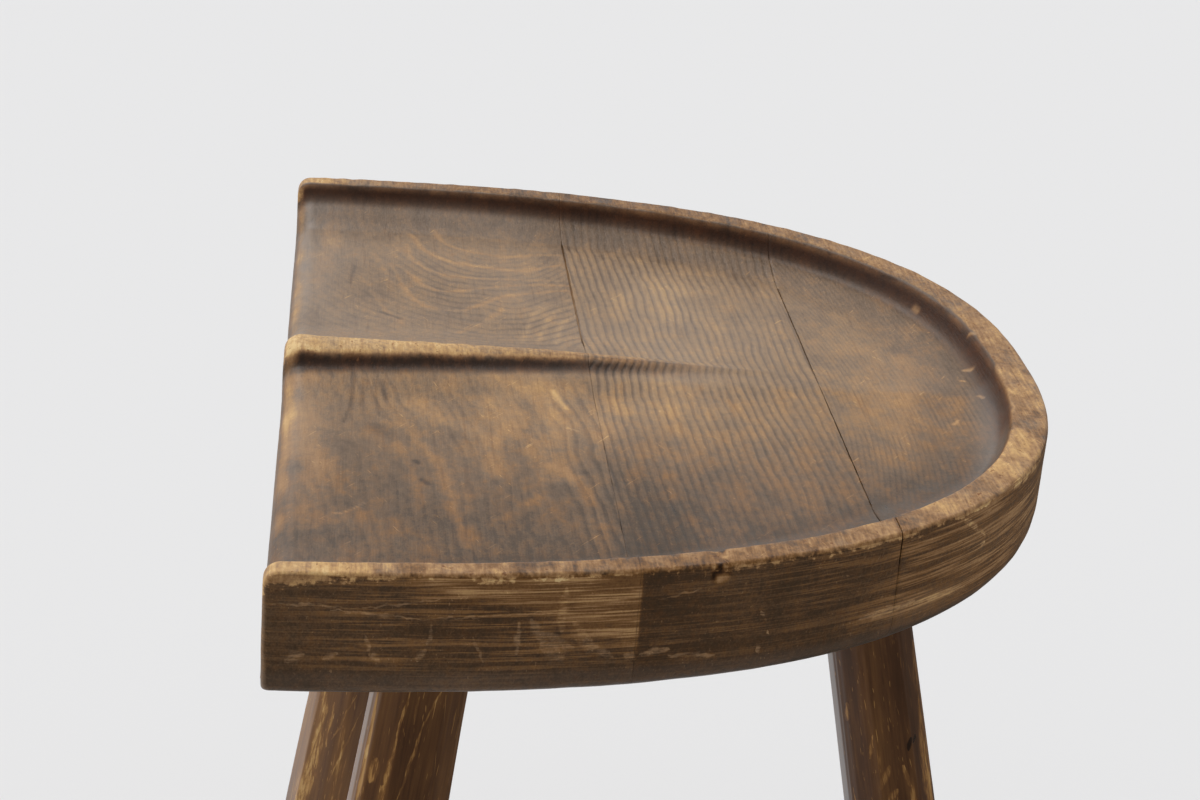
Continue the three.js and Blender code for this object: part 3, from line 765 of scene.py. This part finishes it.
def seat_masks(places, normals, rings, ring_depth):
    x, y, z = places.T
    inset = outline_inset(x, y)
    inside = inset - mix(rim_width_side, rim_width_back, smooth(y / seat_depth))
    swell = drift(places, (45, 30, 30), 3)
    patch = drift(places, (14, 9, 9), 4)
    nick = drift(places, (5, 3.5, 3.5), 5)
    facing_up = rise(normals[:, 2], 0.25, 0.5)
    side = fall(np.abs(normals[:, 2]), 0.35, 0.35) * ((inset < 6) | (y < 2.5))
    under = fall(normals[:, 2], -0.9, 0.5)
    near = smooth(x / 8)
    masks = floor_masks(x, y, inside, near, swell, patch, nick)

    # The ridge: pale along its worn flat top, and dark down the wall that faces the camera, where
    # grime and painted shade are laid on.
    beside = beside_crest(x, y) + 0.4 * nick + 0.5 * patch
    beyond = x < ridge_axis(y)
    fading = fall(y, 95, 80)
    top = fall(beside, np.where(beyond, 1, -2.4), np.where(beyond, 3, 3.8)) * fading
    foot = (1 - beyond) * (1 - top) * fall(beside, 2, 8) * fading * rise(y, 1, 6)
    lay(masks, top, wear=np.interp(y, ridge_wear_places, ridge_wear_levels) + 0.1 * patch,
        gold=0.55 + 0.3 * patch + 0.35 * (beside > -3), wax=0)
    # Down that wall the colour is painted dark: no wax, little wear, and grime with painted shade.
    lay(masks, foot, wax=0)
    lay(masks, 0.9 * foot, wear=0.15)
    masks["grime"] = np.maximum(masks["grime"], 0.8 * foot)

    # The crest of the rim, then the rounded edge along the front.
    crest = fall(inside + 2 * (1 - near) + 0.6 * nick, 0, 1.2) * facing_up
    crest_wear = np.interp(y, rim_wear_places, rim_wear_levels) - 0.05 * (1 - near)
    crest_wear += (0.08 + 0.08 * near) * (patch + nick)
    lay(masks, crest, wear=crest_wear, gold=0.8 + 0.25 * patch, wax=0, grime=0)
    front_edge = fall(y - 2 * patch, 2, 4)
    masks["wax"] *= 1 - 0.6 * front_edge
    masks["wear"] += (0.1 + 0.1 * patch) * front_edge * (1 - crest)
    masks["gold"] += 0.35 * front_edge * (1 - crest)

    # The sides and the front, the knot in the rim, then the underside.
    band = rise(y, 40, 20) * fall(y, 115.5, 0.6)
    band *= rise(z - mix(30, 14, rise(y, 60, 56)) - 3 * patch, 0, 9)
    knot = smooth(2 * rim_knot(x, y, z))
    # Low on the sides the wax mask lays a painted grey sheen over the round under the edge.
    lay(masks, side, wear=side_wear_at(x, y, z, band, swell, patch), grime=0,
        gold=0.42 + 0.48 * band + 0.16 * rise(y, 170, 60), wax=0.45 * fall(z, 7, 5))
    lay(masks, knot, gold=1)
    lay(masks, 0.95 * knot, wear=0.27 + 0.6 * drift(places, (2.6, 2, 2), 12))
    for name in ("gold", "wax"):
        masks[name] = np.clip(masks[name], 0, 1)
    lay(masks, under, wear=0.2 + 0.05 * swell, gold=0, wax=0)

    # The end grain's streaks, and how far above the ragged line of the stain a point is.
    streaks = 0.32 + 0.2 * (y < front_joint) + 0.66 * band + 0.45 * rise(y, 185, 30)
    streaks += 0.15 * patch
    streaks *= mix(0.35, 1, rise(y, 8, 30)) * mix(0.3, 1, rise(z, 7, 8))
    below_edge = thickness - edge_drop(y, front_arris) - z
    reach = 1.6 + 3.5 * fall(y, 4, 16) + 1.4 * patch
    masks.update(
        ring=rings, ring_depth=ring_depth * facing_up * (1 - 0.8 * crest), side=side,
        near_side=side * near, edge=np.clip(reach - below_edge, -15, 15) * mm,
        streaks=np.clip(streaks, 0, 1), bare=np.maximum(crest, top) * (1 - under))
    return masks


def place_in_frame(places):
    return places * mm + (0, seat_low.y, seat_low.z)


# The joints have opened a little in places. A rule gives half the gap at each place.
joint_rounding, joint_run = 0.45, 3
tight_joint = 0.02

# How high the worn surface wanders, and how far it is set in so that none of it stands out.
swell_height, ripple_height, bare_height = 0.12, 0.05, 0.22
surface_allowance = 0.2


def front_joint_opening(x, z):
    open_part = rise(x, -152, 8) * fall(x, -40, 16) * (z > 20)
    return 0.28 * open_part


def back_joint_opening(x, z):
    near_rim = rise(x, 100, 20) * rise(z, 24, 12)
    return 0.03 * rise(x, -150, 60) * (z > 20) + 0.12 * near_rim


def dress_board(name, mesh, ring_rule, ring_height, joints):
    places, normals = mesh_places(mesh)
    for joint, _ in joints:
        normals[np.abs(places[:, 1] - joint) < 0.1, 1] = 0
    normals /= np.maximum(np.linalg.norm(normals, axis=1), 1e-6)[:, None]
    rings, ring_depth = ring_rule(places)
    masks = seat_masks(places, normals, rings, ring_depth)
    relief = ring_height * masks["ring_depth"] * (ring_line(rings % 1) - ring_middle)
    relief += swell_height * drift(places, (22, 16, 16), 7)
    relief += ripple_height * drift(places, (6, 5, 5), 8)
    relief += bare_height * masks["bare"] * drift(places, (7, 4, 4), 9) - surface_allowance
    relief -= rim_knot(*places.T) * (0.5 + 0.5 * drift(places, (3, 2, 2), 10))
    shift = np.zeros(len(places))
    for joint, opening_rule in joints:
        away = places[:, 1] - joint
        opening = opening_rule(places[:, 0], places[:, 2])
        relief -= edge_drop(np.abs(away), joint_rounding) * np.clip(opening / 0.2, 0.05, 1)
        shift += np.sign(away) * opening * (1 - smooth(np.abs(away) / joint_run))
    places = places + normals * relief[:, None]
    places[:, 1] += shift
    return finish_piece(name, mesh, place_in_frame(places), masks, seat_material)


# The front board. It was sawn flat from the log, so its rings show as nested tongues that
# point across the seat to the sitter's right, and fade where people wore the wood smooth.
front_ring_width = 5.6
front_pith = (-172, 86)
board_columns = 205
joint_rows, joint_rows_run = np.array([0, 0.25, 0.5, 0.9]), 1.4


def front_rings(places):
    x, y, z = places.T
    wander = 6 * drift(places, (70, 44, 60), 11) + 3 * drift(places, (24, 13, 14), 12)
    wander += 1 * drift(places, (10, 5, 8), 14)
    away = y - front_pith[1]
    bent = away * mix(1.5, 2.1, smooth(0.5 + away / 24))
    out = np.hypot(x - front_pith[0] + 0.8 * (z - 30), bent)
    straight = 168 - 1.25 * away + 0.12 * x
    rings = (mix(out, straight, rise(x, -34, 34)) + wander) / front_ring_width
    patch = drift(places, (30, 16, 20), 13)
    depth = 0.13 + 0.12 * patch
    depth += 0.22 * spot(x, y, -92, 82, 74, 50) * (1 + 0.7 * patch)
    depth += 0.35 * spot(x, y, -40, 106, 44, 26)
    depth += 0.3 * spot(x, y, 26, 38, 26, 18)
    depth += 0.3 * rise(y, 96, 12) * smooth(x / 20)
    return rings, np.clip(depth, 0.05, 1)


last = front_joint - tight_joint
front_rows = np.concatenate([
    front_arris * np.linspace(0, 1, 9)[:-1] ** 2,
    np.linspace(front_arris, last - joint_rows_run, 130), last - joint_rows[::-1]])
front_mesh = cross_board("front_board", front_rows, board_columns, True)
front_board = dress_board("front_board", front_mesh, front_rings, 0.18,
                          [(front_joint, front_joint_opening)])
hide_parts("seat_board_front")


# The middle board. It was sawn on the quarter: its rings cross the seat as straight ribs,
# and the soft wood between them is worn hollow.
middle_ring_width = 3.35
middle_ring_lean = 1.3


def middle_rings(places):
    x, y, z = places.T
    wander = 2.4 * drift(places, (80, 45, 60), 21) + 1.1 * drift(places, (24, 14, 20), 22)
    wander += 0.4 * drift(places, (8, 6, 8), 25)
    lean = middle_ring_lean * np.clip(z - 30, 0, 6) * fall(beside_crest(x, y), 28, 16)
    rings = (y - lean - 0.04 * x + wander) / middle_ring_width
    depth = 0.7 + 0.3 * drift(places, (40, 22, 30), 23) + 0.22 * drift(places, (12, 4, 9), 24)
    depth = np.clip(depth, 0.2, 1) * mix(0.45, 1, rise(outline_inset(x, y), 22, 30))
    return rings, depth * mix(0.72, 0.42, rise(x, 25, 90))


first, last = front_joint + tight_joint, back_joint - tight_joint
middle_rows = np.concatenate([
    first + joint_rows, np.linspace(first + joint_rows_run, last - joint_rows_run, 132),
    last - joint_rows[::-1]])
middle_mesh = cross_board("middle_board", middle_rows, board_columns, False)
middle_board = dress_board(
    "middle_board", middle_mesh, middle_rings, 0.36,
    [(front_joint, front_joint_opening), (back_joint, back_joint_opening)])
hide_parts("seat_board_middle")


# The back board, rounded to the blunt tip of the seat. It is of slow grown wood with fine
# rings, and the carved wall is highest round its edge.
back_ring_width = 1.9


def back_rings(places):
    x, y, z = places.T
    wander = 1.6 * drift(places, (70, 40, 40), 31)
    rings = (y + 0.0012 * x * x - 0.05 * x - 0.3 * (z - 30) + wander) / back_ring_width
    depth = 0.16 + 0.2 * drift(places, (30, 18, 20), 32)
    return rings, np.clip(depth, 0, 1)


back_mesh = fan_board("back_board", back_joint + tight_joint, 361, 200)
back_board = dress_board("back_board", back_mesh, back_rings, 0.09,
                         [(back_joint, back_joint_opening)])
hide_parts("seat_board_back")


# The legs. Each is planed to eight flats, thicker at the foot, and driven by a round tenon
# into the seat's underside. They are stained red brown and varnished, and the arrises are
# rubbed to bare gold.
legs = {
    "leg_front_right": ("front_right_leg", (109, 57.5), (-0.117, 0.14), 4.5, 0.4),
    "leg_front_left": ("front_left_leg", (-109, 57.5), (0.117, 0.14), 149, 0.46),
    "leg_back": ("back_leg", (0, 217.5), (0, -0.229), 7, 0.23),
}

# Marks on the legs' near faces, as (y, z) ends below the seat, width and strength.
leg_marks = {
    "leg_front_right": [
        ((-4.2, -30), (-6, -49), 0.8, 1), ((-6, -47), (-7.6, -80), 0.9, 1),
        ((6.8, -30), (1.6, -45), 0.7, 0.9), ((1.8, -43), (-2.2, -72), 0.8, 0.9),
        ((-11, -59), (-11.8, -68), 2.4, 1), ((-15.3, -56), (-15.4, -61), 1.2, 0.8),
        ((-7.4, -67), (-7.8, -76), 1.2, 0.9), ((-1, -34), (-1.5, -44), 0.6, 0.6)],
    "leg_front_left": [
        ((-13, -172), (-12.4, -198), 2.4, 1), ((-12.4, -194), (-12, -214), 3.2, 1),
        ((-12.2, -208), (-15.5, -246), 5, 1), ((-9, -180), (-8.6, -205), 1, 0.7),
        ((0, -174), (-6.4, -200), 0.7, 0.6), ((4, -182), (-4.6, -224), 0.7, 0.6)],
    "leg_back": [
        ((-13.6, -102), (-14.6, -111), 1.3, 1), ((-6.1, -113), (-7.9, -125), 0.8, 0.8),
        ((-0.4, -127), (-5.4, -138), 2, 0.6), ((5.2, -127), (6.9, -137), 1.3, 0.7),
        ((16.4, -76), (16.8, -102), 3.4, 0.8), ((16.6, -98), (15.6, -150), 4.2, 0.9),
        ((15.6, -130), (14, -144), 3, 0.8), ((1.6, -138), (-2.2, -143), 2, 0.7)],
}
leg_knots = [((9.6, -114.6), (7.9, -120.4), 1.3, 1), ((11.6, -114.6), (10.5, -117.6), 1, 1)]
leg_steps = [
    (0, paint(46, 28, 14)), (0.25, paint(86, 53, 25)), (0.5, paint(134, 90, 42)),
    (0.75, paint(186, 138, 74)), (1, paint(214, 176, 116))]
leg_flats = 8
leg_top_radius, leg_foot_radius = 16.4, 21.4
arris_share = 0.1
foot_round, shoulder_gap = 1.2, 0.3
leg_length = seat_low.z / mm - shoulder_gap
leg_mark_step = 200


def build_leg_tree(material):
    """A tapering bar with flats, from its foot at z = 0 up, and with eased arrises."""
    tree, given, made = new_group(
        "eight_sided_leg",
        [("Length", "Float", leg_length), ("Top Radius", "Float", leg_top_radius),
         ("Foot Radius", "Float", leg_foot_radius), ("Arris", "Float", arris_share),
         ("Turn", "Float", 0), ("Flats", "Int", leg_flats), ("Rows", "Int", 150),
         ("Section Points", "Int", 176)], [("Geometry", "Geometry")], "GeometryNodeTree")
    top_end = add(tree, "ShaderNodeCombineXYZ", Z=given["Length"])
    path = add(tree, "GeometryNodeCurvePrimitiveLine", End=top_end)
    path = add(tree, "GeometryNodeResampleCurve", Curve=path, Count=given["Rows"])
    up = add(tree, "GeometryNodeSplineParameter", None, "Factor")
    spread = given["Foot Radius"] - given["Top Radius"]
    radius = (1 - up * up) * spread + given["Top Radius"]
    section = add(tree, "GeometryNodeCurvePrimitiveCircle", Resolution=given["Flats"], Radius=1)
    section = add(tree, "GeometryNodeFilletCurve", {"mode": "POLY"}, Curve=section, Count=6,
                  Radius=given["Arris"])
    section = add(tree, "GeometryNodeResampleCurve", Curve=section, Count=given["Section Points"])
    turn = add(tree, "ShaderNodeCombineXYZ", Z=given["Turn"])
    section = add(tree, "GeometryNodeTransform", Geometry=section, Rotation=turn)
    bar = add(tree, "GeometryNodeCurveToMesh", Curve=path, Profile_Curve=section, Scale=radius,
              Fill_Caps=True)
    real = add(tree, "GeometryNodeRealizeInstances", Geometry=bar)
    fill(made, Geometry=add(tree, "GeometryNodeSetMaterial", Geometry=real, Material=material))
    return tree


def leg_finish():
    material, tree, shader = new_finish("varnished_leg")
    place = mask_of(tree, "leg_place", "Vector")
    fibre = use_group(fibre_group, tree, Vector=place, Along=(900, 900, 30))
    broad = noise(place, (110, 110, 14), 5, 0.62)
    streak = noise(place, (420, 420, 22), 3, 0.6)
    rubbed = step_between(streak * 0.5 + broad + mask_of(tree, "arris") * 0.04, 0.15, 0.25)
    fine = flecks(place, ((0, 6, 0), (1500, 1500, 26), 0.2), ((-7, -5, 0), (1600, 1600, 20), 0.21))
    wear = mask_of(tree, "wear") + broad * 0.45 + fibre * 0.18 + streak * 0.25
    wear += rubbed * 0.28 + fine * 0.32

    # The leg marks, in a place that holds the leg's number as its x.
    ragged = noise(place, (160, 160, 90), 3)
    face = mask_of(tree, "face_place", "Vector")
    face += add(tree, "ShaderNodeCombineXYZ", Y=ragged * 0.003)
    marks = [scratches(face, leg_marks[name], leg_mark_step * k) for k, name in enumerate(legs)]
    broken = step_between(noise(place, (800, 800, 110), 4, 0.7), -0.08, 0.1)
    wear += most(*marks) * (broken * 0.75 + 0.25) * 0.42
    back_leg = list(legs).index("leg_back")
    wear -= scratches(face, leg_knots, leg_mark_step * back_leg) * 0.35
    fill(shader, Base_Color=colour_steps(wear, leg_steps), Roughness=wear * 0.3 + 0.3,
         Normal=bump(fibre, 0.15), Specular_IOR_Level=0.2, Coat_Weight=0.35, Coat_Roughness=0.16)
    return material


leg_material = leg_finish()
leg_tree = build_leg_tree(leg_material)


def make_leg(node, number, name, start, lean, turn_degrees, base_wear):
    holder = show(name, bpy.data.meshes.new(name))
    modifier = holder.modifiers.new("bar", "NODES")
    modifier.node_group = leg_tree
    turn = next(item for item in leg_tree.interface.items_tree if item.name == "Turn")
    modifier[turn.identifier] = math.radians(turn_degrees + 180 / leg_flats)
    seen = holder.evaluated_get(bpy.context.evaluated_depsgraph_get())
    mesh = bpy.data.meshes.new_from_object(seen)
    bpy.data.objects.remove(holder)

    # How far each point is bent, or worn down at the arrises.
    along, normals = mesh_places(mesh)
    seed = 40 + 10 * number
    radius = mix(leg_top_radius, leg_foot_radius, 1 - (along[:, 2] / leg_length) ** 2)
    out = np.hypot(along[:, 0], along[:, 1]) / radius - math.cos(math.pi / leg_flats)
    arris = rise(out, 0.02, 0.04)
    worn = arris * smooth(0.5 + drift(along, (25, 25, 60), seed + 2))
    bent = 0.35 * drift(along, (30, 30, 90), seed) + 0.12 * drift(along, (9, 9, 30), seed + 1)
    swollen = (bent - 0.6 * worn - edge_drop(along[:, 2], foot_round)) / radius
    is_side = np.abs(normals[:, 2]) < 0.7
    across = along[:, :2] * (1 + swollen * is_side)[:, None]
    wear = base_wear + 0.12 * drift(along, (20, 20, 70), seed + 3) + 0.05 * worn

    # The leg leans out from its mortise, and its foot stays level.
    up = Vector((*lean, 1)).normalized()
    side = up.cross(Vector((1, 0, 0))).normalized()
    forward = side.cross(up)
    local = across[:, :1] * np.array(forward) + across[:, 1:] * np.array(side)
    rest = (along[:, 2] - leg_length - local[:, 2]) / up.z
    world = local + rest[:, None] * np.array(up) + (*start, -shoulder_gap)

    on_face = along - (0, 0, leg_length)
    on_face[:, 0] = (number + 0.5 * (along[:, 0] < 0)) * leg_mark_step
    masks = {"wear": wear, "arris": arris, "leg_place": along * mm, "face_place": on_face * mm}
    mesh.materials.clear()
    for face in mesh.polygons:
        face.use_smooth = abs(face.normal.z) < 0.9
    leg = finish_piece(name, mesh, place_in_frame(world), masks, leg_material)
    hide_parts(node)


for number, (node, sizes) in enumerate(legs.items()):
    make_leg(node, number, *sizes)


# The wedges in the tenons and the dowels in the joints: bare split wood, never stained,
# because they are inside the seat. Their shape is right as it stands.
def bare_finish():
    material, tree, shader = new_finish("bare_wood")
    place = add(tree, "ShaderNodeTexCoord", None, "Object")
    fibre = use_group(fibre_group, tree, Vector=place, Along=(900, 60, 900))
    tone = noise(place, (260, 26, 260), 3, 0.6) + fibre * 0.5 + 0.5
    colour = colour_steps(tone, [
        (0.1, paint(146, 108, 68)), (0.5, paint(184, 146, 100)), (0.9, paint(206, 172, 126))])
    fill(shader, Base_Color=colour, Roughness=0.75, Normal=bump(fibre, 0.3))
    return material


bare_material = bare_finish()
for name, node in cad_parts.items():
    if name.startswith(("wedge", "dowel")):
        node.data.materials.clear()
        node.data.materials.append(bare_material)


# The floor and the light: a wide pale floor, a bright soft sky on the far left and overhead,
# and a dim one behind the camera. The floor is dim in what the stool mirrors of it.
floor_half = 6
floor_mesh = bpy.data.meshes.new("floor")
corners = [(x * floor_half, y * floor_half, 0) for x, y in ((-1, -1), (1, -1), (1, 1), (-1, 1))]
floor_mesh.from_pydata(corners, [], [(0, 1, 2, 3)])
floor = show("floor", floor_mesh)
floor_material, floor_tree, floor_shader = new_finish("pale_floor")
mirrored = add(floor_tree, "ShaderNodeLightPath", None, "Is Glossy Ray")
floor_place = add(floor_tree, "ShaderNodeTexCoord", None, "Object")
floor_x = add(floor_tree, "ShaderNodeSeparateXYZ", None, "X", Vector=floor_place)
near_camera = most(step_between(floor_x, 0, 0.45), step_between(floor_x.beside("Y"), 0, 0.3))
floor_colour = blend("MIX", mirrored * near_camera, (0.8, 0.8, 0.805, 1), (0.12, 0.11, 0.1, 1))
fill(floor_shader, Base_Color=floor_colour, Roughness=0.9, Specular_IOR_Level=0)
floor_mesh.materials.append(floor_material)

scene.world = bpy.data.worlds.new("studio")
scene.world.use_nodes = True
sky = scene.world.node_tree
look = add(sky, "ShaderNodeTexCoord", None, "Generated")
toward = calc("DOT_PRODUCT", look, Vector((-0.75, -0.25, 0.61)), output="Value")
light_level = step_between(toward, -0.55, 0.75, 0.1, 1)
seen_level = 0.81
is_camera = add(sky, "ShaderNodeLightPath", None, "Is Camera Ray")
sky_level = is_camera * (seen_level - light_level) + light_level
fill(sky.nodes["Background"].inputs, Strength=sky_level, Color=(1, 1, 1, 1))

key = bpy.data.lights.new("key", "SUN")
key.energy = 1.05
key.angle = math.radians(40)
key_direction = Vector((-0.55, -0.35, 0.76))
show("key", key).rotation_euler = key_direction.to_track_quat("Z", "Y").to_euler()

scene.view_settings.view_transform = "Standard"
